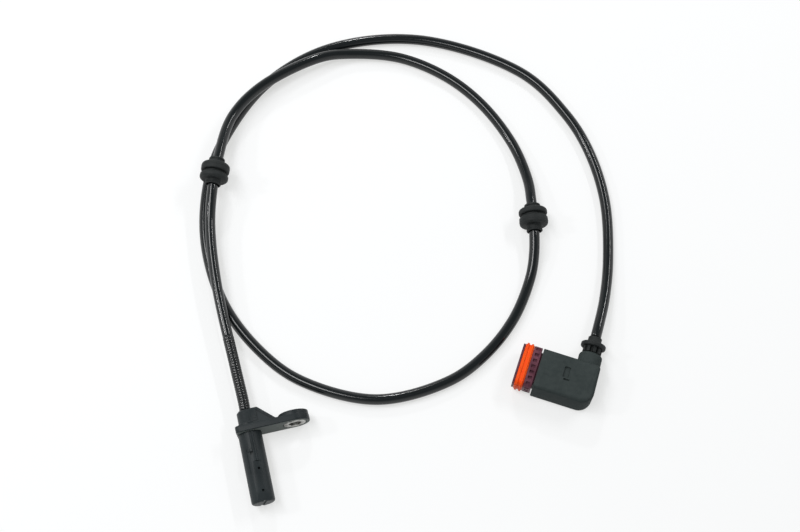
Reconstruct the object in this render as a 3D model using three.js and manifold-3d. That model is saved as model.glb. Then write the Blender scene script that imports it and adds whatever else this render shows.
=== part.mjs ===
// Wheel speed sensor with its cable and right-angle connector, lying as it comes to rest.
// Millimetres, +Z up. The probe points along -Y, the cable leaves it along +Y, the ear with
// the bolt bush points along +X. The origin is under the middle of the sensor head.

import * as THREE from 'three';
import { mergeVertices } from 'three/addons/utils/BufferGeometryUtils.js';
import Module from 'manifold-3d';

// Clearances
const fitGap = 0.25; // between pieces that seat in or on each other
const cableGap = 0.3; // between the cable's cut end and what it enters

// Sensor head: flange
const flangeRadius = 7.75; // round ends of the flange, and half its height
const boltOffset = 22.9; // from the probe's axis to the bolt hole's axis
const plateThickness = 3.4;
const bossThickness = 5.4; // round boss that holds the bush
const flangeBevel = 0.4;
const flangeEnd = -6.4; // the end away from the bolt, from the probe's axis
const flangeCorner = 2.4;
const bossInset = 0.15; // the boss stands back from the flange's edge

// Sensor head: bolt bush
const bushRadius = 5.6;
const boltHoleRadius = 3.2; // clears an M6 bolt
const bushProud = 0.15; // each end of the bush stands out of the plastic
const bushGrooveDepth = 0.7;
const bushGrooveWidth = 1.6;
const bushChamfer = 0.35;
const bushSegments = 28;

// Sensor head: probe
const probeRadius = 5.9;
const probeLength = 35.8; // from the seating face to the tip
const tipRound = 1.3;
const probeFlatDepth = 1.25; // at the tip
const probeFlatStartDepth = 0.45; // at the step where the flat begins
const probeFlatLength = 20.5;
const featureTurn = -15; // degrees about the probe's axis, for the flat, the rib and the holes
const ribWidth = 0.9;
const ribHeight = 0.45;
const ribLength = 18;
const pinHoleRadius = 0.65; // left by the mould's pins that held the insert
const pinHoleDistances = [19.2, 30.3]; // from the seating face
const latchWindowWidth = 1.7;
const latchWindowLength = 1.9;
const latchWindowDepth = 0.8;
const latchWindowSide = -1.1;
const tipSlotWidth = 1.5;
const tipSlotDepth = 0.5;

// Sensor head: neck and gusset
const neckRadius = 4.6;
const neckLength = 12; // from the seating face to the cable entry
const neckChamfer = 1.2;
const neckFootRadius = 5.1;
const neckFootLength = 1.5; // beyond the plate
const gussetHalfHeight = 4.1;
const gussetTopReach = 6.1; // from the probe's axis, along the ear
const gussetFootReach = 15.2;
const gussetBevel = 0.5;
const gussetDrop = 0.15; // below the end of the neck
const gussetStepInset = 1.1;
const gussetStepDepth = 0.5;

// Insert inside the head
const pocketWidth = 6.2;
const pocketHeight = 3.8;
const tipWall = 1.3;
const pocketTop = 2.2; // how far the pocket runs past the seating face
const carrierLength = 25;
const carrierThickness = 1.3;
const carrierRail = 0.5;
const carrierRailHeight = 1.1;
const chipWidth = 4.2;
const chipLength = 4.7;
const chipThickness = 1.5;
const chipTaper = 0.3;
const leadPitch = 2.6;
const leadWidth = 0.7;
const leadThickness = 0.3;
const capacitorWidth = 3.6;
const capacitorLength = 2.2;
const capacitorThickness = 0.7;
const capacitorDistance = 12; // from the chip's rear edge
const crimpLength = 4.2;
const crimpRadius = 0.85;
const crimpSetback = 0.5; // from the end of the insert
const coreRadius = 0.75;
const corePitch = 1.9;
const coreSides = 8;

// Cable
const cableRadius = 2.75;
const tubeSides = 8;
const tubeSteps = 80;
const cableLead = 6; // straight stretch at each end

// Grommets on the cable
const grommetBoreGap = 0.55;
const grommetSegments = 24;
const grommetFlangeRadius = 7.5;
const grommetFlangeRound = 1.5;
const grommetGrooveRadius = 5.6;
const grommetGrooveWidth = 1.4;
const grommetUpperFlange = 3.3;
const grommetLowerFlange = 4.7;
const grommetSleeveRadius = 3.85;
const grommetSleeveLip = 0.35;
const grommetLipLength = 1.2;
const grommetGrooveRound = 0.5;
const grommetUpperSleeve = 2.5;
const grommetLowerSleeve = 3.1;
const grommetPlaces = [['grommet_near_head', [-2.4, 151.5, 13.4]], ['grommet_mid', [155.1, 92.8, 7.4]]];

// Connector: place and turn of its mating face's middle, on the table
const connectorPlace = [126.7, 16.2, 0];
const connectorTurn = -31.5;

// Connector housing; lengths run back from the mating face
const housingFront = 10.5;
const housingBack = 40.6; // on the middle line, at the table
const housingWidth = 23.8; // at the table; the sides draw in towards the top
const housingTopWidth = 21;
const housingThickness = 15;
const housingEdge = 1.6;
const housingHeadCorner = 2;
const housingHeelCorner = 6.8;
const housingWall = 2;
const towerAxis = 34.5; // from the mating face
const towerLean = 2; // degrees, shared by the housing's back
const towerRadius = 6;
const towerTop = 17; // from the connector's middle line
const towerShoulder = 1.8;
const towerLip = 0.5; // flat rim round the outlet's bore
const chamberInset = 0.5; // of the room for the cores, from the socket's sides
const badgeWidth = 3.2;
const badgeLength = 4.6;
const badgeDepth = 0.4;
const badgeCentre = [24.5, 2.4];
const keySlotWidth = 3.4;
const keySlotLength = 0.8;
const keySlotDepth = 0.7;
const keySlotCentre = [26.2, -1.9];

// Terminal carrier, the coloured insert that carries the seal
const rimLength = 1.1;
const rimWidth = 22;
const rimHeight = 11.8;
const sealSpan = 4.6; // length of the seal's seat
const seatWidth = 18.8;
const seatHeight = 8.6;
const bandWidth = 22.6;
const bandHeight = 12.6;
const bandLength = 4.2;
const tailWidth = 17.6;
const tailHeight = 10.2;
const tailLength = 14; // inside the housing
const tailRound = 2;
const cornerRound = 3.2;
const seatCorner = 2.2;
const rimEdge = 0.2;
const bandEdge = 0.3;
const windowPitch = 3.1;
const windowWidth = 1.6;
const windowLength = 2.1;
const windowDepth = 1.1;
const windowsAcross = 7;
const windowsOnSide = 3;
const faceRecessDepth = 0.6;
const faceRecessBorder = 1.6;

// Face seal
const sealWidth = 23.6;
const sealHeight = 13.2;
const sealValley = 0.55;
const lipThickness = 1.1;
const lipRound = 0.42;
const lipPlaces = [0.26, 0.76]; // shares of the seal's length

// Terminals and their cores
const terminalPitch = 6.2;
const terminalBore = 3.1;
const contactSize = 2.5;
const contactLength = 11;
const contactSlot = 1.1;
const contactSlotDepth = 9;
const contactSetback = 1.6;
const barrelRadius = 0.95;
const barrelLength = 7;
const coreBend = 4.2; // reach of the cores' turn towards the outlet

// Outlet seal and gland
const outletBoreRadius = 4;
const outletBoreFloor = 4.5; // from the connector's middle line
const sealRingLength = 4.6;
const sealRingFoot = 6.6; // from the connector's middle line
const sealRingLips = 3;
const sealRingGroove = 0.45;
const ringSegments = 20;
const glandPlugRadius = 3.75;
const glandNeckLength = 3.3;
const glandDiscRadius = 6.4;
const glandDiscThickness = 2.4;
const glandDiscRound = 0.8;
const glandPlugLength = 5; // inside the tower
const collarRadius = 3.5;
const collarLength = 3.4;
const glandLugs = 9;
const glandLugRadius = 4.9;
const glandLugWidth = 1.7;
const glandLugDepth = 0.9;
const glandSegments = 28;

// Solids
const wasm = await Module();
wasm.setup();

const degrees = Math.PI / 180;
const roundSegments = 32;

function solid(geometry) {
  const plain = geometry.clone();
  plain.deleteAttribute('normal');
  plain.deleteAttribute('uv');
  const merged = mergeVertices(plain, 1e-5);
  const mesh = new wasm.Mesh({
    numProp: 3,
    vertProperties: new Float32Array(merged.attributes.position.array),
    triVerts: new Uint32Array(merged.index.array),
  });
  return new wasm.Manifold(mesh);
}

function geometryOf(body) {
  const mesh = body.getMesh();
  const geometry = new THREE.BufferGeometry();
  geometry.setAttribute('position', new THREE.BufferAttribute(new Float32Array(mesh.vertProperties), 3));
  geometry.setIndex(new THREE.BufferAttribute(new Uint32Array(mesh.triVerts), 1));
  geometry.computeVertexNormals();
  return geometry;
}

function join(bodies) {
  return bodies.reduce((whole, body) => whole.add(body));
}

function cut(body, tools) {
  return tools.reduce((left, tool) => left.subtract(tool), body);
}

function box(size, centre) {
  return new THREE.BoxGeometry(...size).translate(...centre);
}

// A closed profile of [radius, distance] points, turned about the Y axis
function turned(profile, segments = roundSegments) {
  return new THREE.LatheGeometry(profile.map(([r, y]) => new THREE.Vector2(r, y)), segments);
}

// Quarter-round points between two ends, for the edge of a turned profile
function roundEdge(centre, radius, fromDegrees, toDegrees, steps = 3) {
  const points = [];
  for (let i = 0; i <= steps; i += 1) {
    const angle = (fromDegrees + ((toDegrees - fromDegrees) * i) / steps) * degrees;
    points.push([centre[0] + radius * Math.cos(angle), centre[1] + radius * Math.sin(angle)]);
  }
  return points;
}

function extruded(shape, depth, bevel = 0, curveSegments = 12, bevelSegments = 3) {
  return new THREE.ExtrudeGeometry(shape, {
    depth: depth - 2 * bevel,
    bevelEnabled: bevel > 0,
    bevelThickness: bevel,
    bevelSize: bevel,
    bevelOffset: -bevel,
    bevelSegments,
    curveSegments,
  }).translate(0, 0, bevel);
}

function roundedRectangle(width, height, radius) {
  const [x, y] = [width / 2, height / 2];
  const shape = new THREE.Shape();
  shape.moveTo(-x + radius, -y);
  shape.lineTo(x - radius, -y);
  shape.absarc(x - radius, -y + radius, radius, -Math.PI / 2, 0);
  shape.lineTo(x, y - radius);
  shape.absarc(x - radius, y - radius, radius, 0, Math.PI / 2);
  shape.lineTo(-x + radius, y);
  shape.absarc(-x + radius, y - radius, radius, Math.PI / 2, Math.PI);
  shape.lineTo(-x, -y + radius);
  shape.absarc(-x + radius, -y + radius, radius, Math.PI, 1.5 * Math.PI);
  return shape;
}

const part = new THREE.Group();

function addPiece(parent, name, geometry, finish) {
  const mesh = new THREE.Mesh(geometry, new THREE.MeshStandardMaterial(finish));
  mesh.name = name;
  parent.add(mesh);
  return mesh;
}

// Finishes
const mouldedBlack = { color: 0x26292b, roughness: 0.5, metalness: 0 };
const plugBlack = { color: 0x2b302f, roughness: 0.55, metalness: 0 };
const jacketBlack = { color: 0x101112, roughness: 0.28, metalness: 0 };
const rubberBlack = { color: 0x1c1f20, roughness: 0.75, metalness: 0 };
const plumPlastic = { color: 0x5f2238, roughness: 0.45, metalness: 0 };
const orangeRubber = { color: 0xff5514, roughness: 0.5, metalness: 0 };
const bushSteel = { color: 0xb4b6b4, roughness: 0.35, metalness: 1 };
const tinnedCopper = { color: 0xb9b2a4, roughness: 0.35, metalness: 1 };
const insertPlastic = { color: 0x8c7f62, roughness: 0.6, metalness: 0 };
const chipResin = { color: 0x141416, roughness: 0.6, metalness: 0 };
const capacitorCeramic = { color: 0x9a7a4c, roughness: 0.5, metalness: 0 };
const coreFinishes = {
  signal: { color: 0x5a3a22, roughness: 0.5, metalness: 0 },
  supply: { color: 0x23408c, roughness: 0.5, metalness: 0 },
};
const coreNames = Object.keys(coreFinishes);

// Sensor head. Its pieces are made about the probe's axis, with the seating face at y = 0.
const head = new THREE.Group();
const headMiddle = (flangeEnd + boltOffset + flangeRadius) / 2;
head.position.set(-headMiddle, (probeLength - neckLength) / 2, flangeRadius);
part.add(head);

// A piece drawn flat in x and z, standing between two distances along y
function alongY(shape, from, to, bevel) {
  return extruded(shape, to - from, bevel, 9, 2).rotateX(Math.PI / 2).translate(0, to, 0);
}

function flangeOutline() {
  const radius = flangeRadius;
  const shape = new THREE.Shape();
  shape.moveTo(0, -radius);
  shape.lineTo(boltOffset, -radius);
  shape.absarc(boltOffset, 0, radius, -Math.PI / 2, Math.PI / 2);
  const corner = [flangeEnd + flangeCorner, radius - flangeCorner];
  shape.absarc(...corner, flangeCorner, Math.PI / 2, Math.PI);
  shape.absarc(corner[0], -corner[1], flangeCorner, Math.PI, 1.5 * Math.PI);
  return shape;
}

// The bush and the hole for it share one profile, apart from the gap
function bushProfile(grow, inner, overrun) {
  const back = bossThickness + bushProud + overrun;
  const front = -bushProud - overrun;
  const middle = bossThickness / 2;
  const outer = bushRadius + grow;
  const chamfer = overrun > 0 ? 0 : bushChamfer;
  const half = bushGrooveWidth / 2 - grow;
  const points = [[inner, front]];
  if (chamfer > 0) points.push([outer - chamfer, front], [outer, front + chamfer]);
  else points.push([outer, front]);
  points.push([outer, middle - half - bushGrooveDepth], [outer - bushGrooveDepth, middle - half]);
  points.push([outer - bushGrooveDepth, middle + half], [outer, middle + half + bushGrooveDepth]);
  if (chamfer > 0) points.push([outer, back - chamfer], [outer - chamfer, back]);
  else points.push([outer, back]);
  points.push([inner, back], [inner, front]);
  return points;
}

function probeBody() {
  const profile = [
    [0, -probeLength],
    ...roundEdge([probeRadius - tipRound, -probeLength + tipRound], tipRound, -90, 0),
    [probeRadius, plateThickness / 2],
    [0, plateThickness / 2],
  ];
  return turned(profile);
}

function neckBody() {
  const foot = plateThickness + neckFootLength;
  const profile = [
    [0, plateThickness / 2],
    [neckFootRadius, plateThickness / 2],
    [neckFootRadius, foot - (neckFootRadius - neckRadius)],
    [neckRadius, foot],
    [neckRadius, neckLength - neckChamfer],
    [neckRadius - neckChamfer, neckLength],
    [0, neckLength],
  ];
  return turned(profile);
}

function gussetOutline(inset) {
  const foot = plateThickness / 2 + inset;
  const shape = new THREE.Shape();
  shape.moveTo(inset, foot);
  shape.lineTo(gussetFootReach - 2 * inset, foot);
  shape.lineTo(gussetFootReach - 2 * inset, plateThickness + inset);
  shape.lineTo(gussetTopReach - inset, neckLength - gussetDrop - inset);
  shape.lineTo(inset, neckLength - gussetDrop - inset);
  return shape;
}

function gussetBody() {
  const web = extruded(gussetOutline(0), 2 * gussetHalfHeight, gussetBevel);
  web.translate(0, 0, -gussetHalfHeight);
  const hollow = extruded(gussetOutline(gussetStepInset), gussetStepDepth * 2);
  const level = gussetHalfHeight - gussetStepDepth;
  const top = solid(hollow.clone().translate(0, 0, level));
  const under = solid(hollow.translate(0, 0, -level - 2 * gussetStepDepth));
  return cut(solid(web), [top, under]);
}

// Shapes on the upper side of the probe are made upright, then turned about its axis
function onProbe(geometry) {
  return solid(geometry.rotateY(featureTurn * -degrees));
}

function probeFlat() {
  const [start, end] = [probeLength - probeFlatLength, probeLength + 1];
  const startLevel = probeRadius - probeFlatStartDepth;
  const endLevel = probeRadius - probeFlatDepth;
  const top = probeRadius + 1;
  const shape = new THREE.Shape();
  shape.moveTo(start, startLevel);
  shape.lineTo(end, endLevel);
  shape.lineTo(end, top);
  shape.lineTo(start, top);
  const slab = extruded(shape, 2 * top).translate(0, 0, -top);
  const alongProbe = new THREE.Matrix4().set(0, 0, -1, 0, -1, 0, 0, 0, 0, 1, 0, 0, 0, 0, 0, 1);
  return onProbe(slab.applyMatrix4(alongProbe));
}

function pinHole(distance) {
  const hole = new THREE.CylinderGeometry(pinHoleRadius, pinHoleRadius, probeRadius + 1, 20);
  return onProbe(hole.rotateX(Math.PI / 2).translate(0, -distance, (probeRadius + 1) / 2));
}

const pocketFront = -probeLength + tipWall;
const pocketBack = pocketTop;

function insertPocket() {
  const length = pocketBack - pocketFront;
  return solid(box([pocketWidth, length, pocketHeight], [0, (pocketBack + pocketFront) / 2, 0]));
}

function corePassage() {
  const width = corePitch + 2 * (coreRadius + fitGap);
  const slot = roundedRectangle(width, 2 * (coreRadius + fitGap), coreRadius + fitGap - 0.01);
  return solid(alongY(slot, pocketBack - 0.5, neckLength + 1, 0));
}

function headHousing() {
  const plate = solid(alongY(flangeOutline(), 0, plateThickness, flangeBevel));
  const bossDisc = new THREE.Shape();
  bossDisc.absarc(boltOffset, 0, flangeRadius - bossInset, 0, 2 * Math.PI);
  const boss = extruded(bossDisc, bossThickness - fitGap, flangeBevel, 16, 2);
  boss.rotateX(Math.PI / 2).translate(0, bossThickness, 0);
  const ribTop = probeRadius + ribHeight;
  const rib = onProbe(box([ribWidth, ribLength, ribTop], [0, -ribLength / 2 + 0.5, ribTop / 2]));
  const body = join([plate, solid(boss), solid(probeBody()), solid(neckBody()), gussetBody(), rib]);
  const windowLevel = probeRadius - probeFlatStartDepth - latchWindowDepth / 2 + 0.5;
  const windowSize = [latchWindowWidth, latchWindowLength, latchWindowDepth + 1];
  const windowDistance = probeLength - probeFlatLength + 1;
  const latchWindow = onProbe(box(windowSize, [latchWindowSide, -windowDistance, windowLevel]));
  const tipSlot = box([tipSlotWidth, 2 * tipSlotDepth, 2 * probeRadius], [0, -probeLength, 0]);
  const bushHole = turned(bushProfile(fitGap, 0, 1), bushSegments).translate(boltOffset, 0, 0);
  return cut(body, [
    probeFlat(),
    ...pinHoleDistances.map(pinHole),
    latchWindow,
    onProbe(tipSlot),
    insertPocket(),
    corePassage(),
    solid(bushHole),
  ]);
}

addPiece(head, 'head_housing', geometryOf(headHousing()), mouldedBlack);

const bush = turned(bushProfile(0, boltHoleRadius, 0), bushSegments).translate(boltOffset, 0, 0);
addPiece(head, 'flange_bush', bush, bushSteel);

// Insert: a moulded bed with two rails, the chip at the tip, and the leads behind it
const bedLevel = -pocketHeight / 2 + fitGap;
const chipFront = pocketFront + fitGap;
const chipBack = chipFront + chipLength;
const bedFront = chipBack + fitGap;
const bedBack = bedFront + carrierLength;
const bedTop = bedLevel + carrierThickness;
const leadLevel = bedTop + fitGap + leadThickness / 2;
const crimpFront = bedBack - crimpLength - crimpSetback;

function carrierBody() {
  const width = pocketWidth - 2 * fitGap;
  const middle = (bedFront + bedBack) / 2;
  const bed = solid(box([width, carrierLength, carrierThickness], [0, middle, (bedLevel + bedTop) / 2]));
  const railHeight = carrierThickness + carrierRailHeight;
  const rails = [-1, 1].map((side) => {
    const x = side * (width - carrierRail) * 0.5;
    return solid(box([carrierRail, carrierLength, railHeight], [x, middle, bedLevel + railHeight / 2]));
  });
  return join([bed, ...rails]);
}

addPiece(head, 'sensor_carrier', geometryOf(carrierBody()), insertPlastic);

// The chip's moulded body narrows towards its two faces
function chipBody() {
  const [w, t] = [chipWidth / 2, chipThickness / 2];
  const shape = new THREE.Shape();
  shape.moveTo(-w + chipTaper, -t);
  shape.lineTo(w - chipTaper, -t);
  shape.lineTo(w, 0);
  shape.lineTo(w - chipTaper, t);
  shape.lineTo(-w + chipTaper, t);
  shape.lineTo(-w, 0);
  return alongY(shape, chipFront, chipBack, 0);
}

addPiece(head, 'sensor_chip', chipBody().translate(0, 0, leadLevel), chipResin);

const leadFront = chipBack + fitGap;
const leadBack = crimpFront - fitGap;
const capacitorBack = leadFront + capacitorDistance;

addPiece(
  head,
  'filter_capacitor',
  box(
    [capacitorWidth, capacitorLength, capacitorThickness],
    [0, capacitorBack - capacitorLength / 2, leadLevel + (leadThickness + capacitorThickness) / 2 + fitGap],
  ),
  capacitorCeramic,
);

const headPassageFront = crimpFront + crimpLength + fitGap;

coreNames.forEach((core, index) => {
  const side = index === 0 ? -1 : 1;
  const leadX = (side * leadPitch) / 2;
  const coreX = (side * corePitch) / 2;
  const leadMiddle = (leadFront + leadBack) / 2;
  const lead = box([leadWidth, leadBack - leadFront, leadThickness], [leadX, leadMiddle, leadLevel]);
  addPiece(head, `lead_${core}`, lead, tinnedCopper);
  const crimpHeight = bedTop + fitGap + crimpRadius;
  const crimp = new THREE.CylinderGeometry(crimpRadius, crimpRadius, crimpLength, 20);
  crimp.translate(leadX, crimpFront + crimpLength / 2, crimpHeight);
  addPiece(head, `crimp_${core}`, crimp, tinnedCopper);
  const route = new THREE.CatmullRomCurve3([
    new THREE.Vector3(leadX, headPassageFront, crimpHeight),
    new THREE.Vector3(leadX, headPassageFront + 0.7, crimpHeight),
    new THREE.Vector3(coreX, pocketBack - 0.2, 0),
    new THREE.Vector3(coreX, pocketBack + 1, 0),
    new THREE.Vector3(coreX, neckLength - fitGap, 0),
  ]);
  addPiece(head, `head_core_${core}`, tubeAlong(route, coreRadius, coreSides, 16), coreFinishes[core]);
});

// A closed tube along a curve
function tubeAlong(curve, radius, sides, steps) {
  const section = new THREE.Shape();
  section.moveTo(radius, 0);
  for (let i = 1; i < sides; i += 1) {
    const angle = (2 * Math.PI * i) / sides;
    section.lineTo(radius * Math.cos(angle), radius * Math.sin(angle));
  }
  return new THREE.ExtrudeGeometry(section, { steps, extrudePath: curve, curveSegments: 1 });
}

// Connector. Its pieces are made with x running back from the mating face, y towards the
// cable outlet and z up from the table.
const connector = new THREE.Group();
connector.position.set(...connectorPlace);
connector.rotation.z = connectorTurn * degrees;
part.add(connector);

const midHeight = housingThickness / 2;

// A rounded section in y and z, standing between two distances along x
function alongX(width, height, radius, from, to, bevel = 0, bevelSegments = 1) {
  const shape = roundedRectangle(width, height, radius);
  const block = extruded(shape, to - from, bevel, 3, bevelSegments);
  const turn = new THREE.Matrix4().set(0, 0, 1, 0, 1, 0, 0, 0, 0, 1, 0, 0, 0, 0, 0, 1);
  return block.applyMatrix4(turn).translate(from, 0, midHeight);
}

// Turned pieces of the cable outlet stand on the tower's leaning axis
const towerFoot = [towerAxis, 0, midHeight];

function onTower(geometry) {
  return geometry.rotateZ(towerLean * degrees).translate(...towerFoot);
}

// The plan runs past the front face, which is then cut square. The back leans with the tower.
function housingPlan() {
  const half = housingWidth / 2;
  const front = housingFront - 2 * housingEdge;
  const lean = towerLean * degrees;
  const backAt = (y) => housingBack - y * Math.tan(lean);
  const shape = new THREE.Shape();
  const heel = [backAt(housingHeelCorner - half) - housingHeelCorner, housingHeelCorner - half];
  const top = [backAt(half - housingHeadCorner) - housingHeadCorner, half - housingHeadCorner];
  shape.moveTo(front, -half);
  shape.lineTo(heel[0], -half);
  shape.absarc(...heel, housingHeelCorner, -Math.PI / 2, lean);
  shape.absarc(...top, housingHeadCorner, lean, Math.PI / 2);
  shape.lineTo(front, half);
  return shape;
}

function housingSlab() {
  const slab = extruded(housingPlan(), housingThickness, housingEdge, 7, 2);
  const corners = slab.attributes.position;
  for (let i = 0; i < corners.count; i += 1) {
    const draw = (1 - housingTopWidth / housingWidth) * (corners.getZ(i) / housingThickness);
    corners.setY(i, corners.getY(i) * (1 - draw));
  }
  const length = 4 * housingEdge;
  const size = [length, 2 * housingWidth, 2 * housingThickness];
  return solid(slab).subtract(solid(box(size, [housingFront - length / 2, 0, midHeight])));
}

function towerBody() {
  const profile = [
    [0, 0],
    [towerRadius, 0],
    ...roundEdge([towerRadius - towerShoulder, towerTop - towerShoulder], towerShoulder, 0, 78, 5),
    [outletBoreRadius + towerLip, towerTop],
    [0, towerTop],
  ];
  return onTower(turned(profile));
}

const carrierFrontOfTail = rimLength + sealSpan + bandLength;
const carrierBack = housingFront + tailLength;

// The carrier's tail seats in a socket, and the cores bend round in the chamber behind it
function coreChamber() {
  const [width, height] = [tailWidth + 2 * fitGap, tailHeight + 2 * fitGap];
  const socket = alongX(width, height, tailRound + fitGap, housingFront - 1, carrierBack + fitGap);
  const chamberLength = housingBack - housingWall - carrierBack;
  const chamberHeight = height - 2 * chamberInset;
  const plan = roundedRectangle(chamberLength, width - 2 * chamberInset, tailRound);
  const chamber = extruded(plan, chamberHeight, 0, 4);
  chamber.translate(carrierBack + chamberLength / 2, 0, midHeight - chamberHeight / 2);
  return solid(socket).add(solid(chamber));
}

function connectorHousing() {
  const body = housingSlab().add(solid(towerBody()));
  const bore = new THREE.CylinderGeometry(outletBoreRadius, outletBoreRadius, towerTop, roundSegments);
  bore.translate(0, outletBoreFloor + towerTop / 2, 0);
  const badge = box([badgeWidth, badgeLength, 2 * badgeDepth], [...badgeCentre, housingThickness]);
  const keySize = [keySlotWidth, keySlotLength, 2 * keySlotDepth];
  const keySlot = box(keySize, [...keySlotCentre, housingThickness]);
  return cut(body, [coreChamber(), solid(onTower(bore)), solid(badge), solid(keySlot)]);
}

addPiece(connector, 'connector_housing', geometryOf(connectorHousing()), plugBlack);

// Windows run in a row over the carrier's band, on its four sides
function bandWindows() {
  const centre = rimLength + sealSpan + bandLength / 2;
  const tools = [];
  for (let i = 0; i < windowsAcross; i += 1) {
    const y = (i - (windowsAcross - 1) / 2) * windowPitch;
    for (const side of [-1, 1]) {
      const z = midHeight + (side * bandHeight) / 2;
      tools.push(solid(box([windowLength, windowWidth, 2 * windowDepth], [centre, y, z])));
    }
  }
  for (let i = 0; i < windowsOnSide; i += 1) {
    const z = midHeight + (i - (windowsOnSide - 1) / 2) * windowPitch;
    for (const side of [-1, 1]) {
      const y = (side * bandWidth) / 2;
      tools.push(solid(box([windowLength, 2 * windowDepth, windowWidth], [centre, y, z])));
    }
  }
  return tools;
}

function terminalCarrier() {
  const bandFront = rimLength + sealSpan;
  const rim = solid(alongX(rimWidth, rimHeight, cornerRound, 0, rimLength, rimEdge));
  const seat = solid(alongX(seatWidth, seatHeight, seatCorner, rimLength / 2, bandFront + bandLength / 2));
  const band = alongX(bandWidth, bandHeight, cornerRound, bandFront, carrierFrontOfTail, bandEdge);
  const tailFront = carrierFrontOfTail - bandLength / 2;
  const tail = alongX(tailWidth, tailHeight, tailRound, tailFront, carrierBack);
  const [faceWidth, faceHeight] = [seatWidth - faceRecessBorder, seatHeight - faceRecessBorder];
  const recess = alongX(faceWidth, faceHeight, faceRecessBorder, -1, faceRecessDepth);
  const bores = coreNames.map((core, index) => {
    const y = (index - 0.5) * terminalPitch;
    return solid(box([carrierBack + 2, terminalBore, terminalBore], [carrierBack / 2, y, midHeight]));
  });
  return cut(join([rim, seat, solid(band), solid(tail)]), [solid(recess), ...bandWindows(), ...bores]);
}

addPiece(connector, 'terminal_carrier', geometryOf(terminalCarrier()), plumPlastic);

function faceSeal() {
  const [front, back] = [rimLength + fitGap, rimLength + sealSpan - fitGap];
  const valleyWidth = sealWidth - 2 * sealValley;
  const valleyHeight = sealHeight - 2 * sealValley;
  const base = solid(alongX(valleyWidth, valleyHeight, cornerRound, front, back, bandEdge));
  const lips = lipPlaces.map((share) => {
    const middle = front + share * (back - front);
    const half = lipThickness / 2;
    return solid(alongX(sealWidth, sealHeight, cornerRound, middle - half, middle + half, lipRound, 2));
  });
  const [boreWidth, boreHeight] = [seatWidth + 2 * fitGap, seatHeight + 2 * fitGap];
  const inside = alongX(boreWidth, boreHeight, seatCorner + fitGap, front - 1, back + 1);
  return cut(join([base, ...lips]), [solid(inside)]);
}

addPiece(connector, 'face_seal', geometryOf(faceSeal()), orangeRubber);

const contactFront = contactSetback;
const contactBack = contactFront + contactLength;
const barrelBack = contactBack + barrelLength;

function terminalBody(y) {
  const contactMiddle = (contactFront + contactBack) / 2;
  const contact = solid(box([contactLength, contactSize, contactSize], [contactMiddle, y, midHeight]));
  const slot = solid(box([2 * contactSlotDepth, contactSlot, contactSlot], [contactFront, y, midHeight]));
  const barrel = new THREE.CylinderGeometry(barrelRadius, barrelRadius, barrelLength + 1, 20);
  barrel.rotateZ(Math.PI / 2).translate(barrelBack - (barrelLength + 1) / 2, y, midHeight);
  return contact.subtract(slot).add(solid(barrel));
}

// The outlet's axis, as a point at a distance from the connector's middle line
function onOutlet(distance, side = 0) {
  const lean = towerLean * degrees;
  const x = towerAxis - distance * Math.sin(lean) + side * Math.cos(lean);
  const y = distance * Math.cos(lean) + side * Math.sin(lean);
  return new THREE.Vector3(x, y, midHeight);
}

const glandFoot = towerTop - glandPlugLength;
const discFoot = towerTop + glandNeckLength;
const collarFoot = discFoot + glandDiscThickness;
const collarTop = collarFoot + collarLength;

coreNames.forEach((core, index) => {
  const y = (index - 0.5) * terminalPitch;
  const side = (0.5 - index) * -corePitch;
  addPiece(connector, `terminal_${core}`, geometryOf(terminalBody(y)), tinnedCopper);
  const bendX = index === 0 ? 3.2 : -1.2;
  const route = new THREE.CatmullRomCurve3([
    new THREE.Vector3(barrelBack + fitGap, y, midHeight),
    new THREE.Vector3(barrelBack + fitGap + 2.5, y, midHeight),
    new THREE.Vector3(towerAxis + bendX - coreBend, y + 0.6, midHeight),
    onOutlet(coreBend, -side * 1.1),
    onOutlet(sealRingFoot, -side),
    onOutlet(glandFoot, -side),
    onOutlet(collarTop - fitGap, -side),
  ]);
  addPiece(connector, `plug_core_${core}`, tubeAlong(route, coreRadius, coreSides, 24), coreFinishes[core]);
});

const coreBoreRadius = corePitch / 2 + coreRadius + fitGap;

function outletSealRing() {
  const outer = outletBoreRadius - fitGap;
  const pitch = sealRingLength / sealRingLips;
  const profile = [[coreBoreRadius, sealRingFoot]];
  for (let i = 0; i < sealRingLips; i += 1) {
    const foot = sealRingFoot + i * pitch;
    profile.push([outer - sealRingGroove, foot], [outer, foot + 0.3 * pitch]);
    profile.push([outer, foot + 0.7 * pitch], [outer - sealRingGroove, foot + pitch]);
  }
  profile.push([coreBoreRadius, sealRingFoot + sealRingLength], [coreBoreRadius, sealRingFoot]);
  return onTower(turned(profile, ringSegments));
}

addPiece(connector, 'outlet_seal', outletSealRing(), rubberBlack);

function glandBody() {
  const discEdge = glandDiscRadius - glandDiscRound;
  const profile = [
    [coreBoreRadius, glandFoot],
    [glandPlugRadius, glandFoot],
    [glandPlugRadius, towerTop],
    [glandPlugRadius - glandLugDepth / 2, towerTop + 0.4],
    [glandPlugRadius - glandLugDepth / 2, discFoot],
    ...roundEdge([discEdge, discFoot + glandDiscRound], glandDiscRound, -90, 0, 3),
    ...roundEdge([discEdge, collarFoot - glandDiscRound], glandDiscRound, 0, 90, 3),
    [collarRadius + 0.5, collarFoot],
    [collarRadius, collarFoot + 0.6],
    [collarRadius, collarTop - 0.5],
    [collarRadius - 0.4, collarTop],
    [coreBoreRadius, collarTop],
    [coreBoreRadius, glandFoot],
  ];
  const lugs = [];
  const height = discFoot - towerTop - fitGap + 0.5;
  const lugPlace = [glandLugRadius - glandLugDepth / 2, discFoot + 0.5 - height / 2, 0];
  for (let i = 0; i < glandLugs; i += 1) {
    const lug = box([glandLugDepth, height, glandLugWidth], lugPlace);
    lugs.push(solid(onTower(lug.rotateY((2 * Math.PI * i) / glandLugs))));
  }
  return join([solid(onTower(turned(profile, glandSegments))), ...lugs]);
}

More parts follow.
